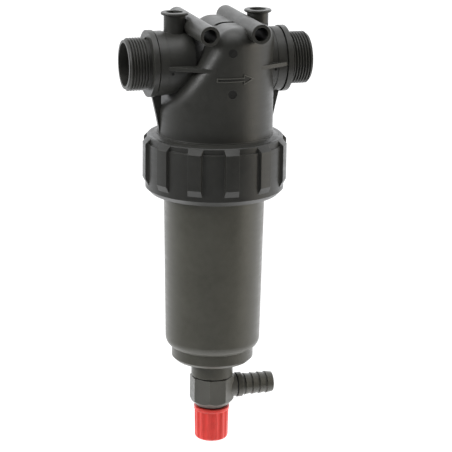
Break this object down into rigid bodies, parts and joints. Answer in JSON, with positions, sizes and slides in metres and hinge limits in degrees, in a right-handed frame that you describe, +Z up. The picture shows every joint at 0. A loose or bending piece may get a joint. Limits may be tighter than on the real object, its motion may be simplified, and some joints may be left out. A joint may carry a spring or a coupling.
{
  "type": "inline pressure filter",
  "caption": "Inline water filter with side threaded ports, hanging bowl under a lugged ring nut, screen cartridge and screw-down drain valve with hose barb.",
  "frame": {"origin": "midway between the two mounting holes, on the rear faces of their tubes", "axes": "+X flow from inlet to outlet, +Y out of the rear faces into the bracket, +Z up along the bowl axis"},
  "size_m": [0.151, 0.1172, 0.3608],
  "materials": {
    "head_plastic": "satin moulded glass-filled polypropylene, near black",
    "nut_plastic": "satin moulded plastic, black",
    "bowl_plastic": "satin moulded plastic, dark olive grey",
    "slip_plastic": "smooth natural acetal",
    "seal_rubber": "black nitrile",
    "cartridge_plastic": "moulded polypropylene, dark grey",
    "screen_steel": "woven stainless mesh",
    "valve_plastic": "satin moulded plastic, dark olive grey",
    "barb_plastic": "satin moulded plastic, near black",
    "gland_plastic": "glass-filled nylon, black",
    "screw_steel": "stainless steel",
    "knob_plastic": "red moulded plastic, slight gloss"
  },
  "bodies": {
    "head": {"head": "head_plastic"},
    "cartridge": {"top_gasket": "seal_rubber", "top_cap": "cartridge_plastic", "screen_cage": "cartridge_plastic", "filter_screen": "screen_steel", "bottom_cap": "cartridge_plastic", "bottom_gasket": "seal_rubber"},
    "bowl": {"bowl": "bowl_plastic", "bowl_seal": "seal_rubber", "drain_tee": "valve_plastic", "tee_washer": "seal_rubber", "hose_barb": "barb_plastic", "barb_washer": "seal_rubber", "gland_nut": "gland_plastic", "gland_washer": "seal_rubber"},
    "slip_ring": {"slip_ring": "slip_plastic"},
    "ring_nut": {"ring_nut": "nut_plastic"},
    "valve_disc": {"valve_disc": "gland_plastic", "valve_washer": "seal_rubber", "washer_screw": "screw_steel"},
    "drain_knob": {"valve_stem": "gland_plastic", "stem_seal": "seal_rubber", "drain_knob": "knob_plastic", "knob_screw": "screw_steel"}
  },
  "joints": [
    {"name": "cartridge_drop", "type": "slide", "parent": "head", "child": "cartridge", "axis": [0, 0, -1], "range_m": [0, 0.03]},
    {"name": "bowl_drop", "type": "slide", "parent": "cartridge", "child": "bowl", "axis": [0, 0, -1], "range_m": [0, 0.165]},
    {"name": "nut_run", "type": "slide", "parent": "bowl", "child": "slip_ring", "axis": [0, 0, -1], "range_m": [0, 0.0241]},
    {"name": "ring_nut_turn", "type": "hinge", "parent": "slip_ring", "child": "ring_nut", "pos_m": [0, -0.043, -0.0294], "axis": [0, 0, -1], "range_deg": [0, 1440]},
    {"name": "valve_lift", "type": "slide", "parent": "bowl", "child": "valve_disc", "axis": [0, 0, -1], "range_m": [0, 0.0041]},
    {"name": "drain_knob_turn", "type": "hinge", "parent": "valve_disc", "child": "drain_knob", "pos_m": [0, -0.043, -0.0294], "axis": [0, 0, -1], "range_deg": [0, 720]}
  ],
  "couplings": [
    {"joint": "nut_run", "follows": "ring_nut_turn", "m_per_rad": 0.00095493},
    {"joint": "valve_lift", "follows": "drain_knob_turn", "m_per_rad": 0.00031831}
  ]
}
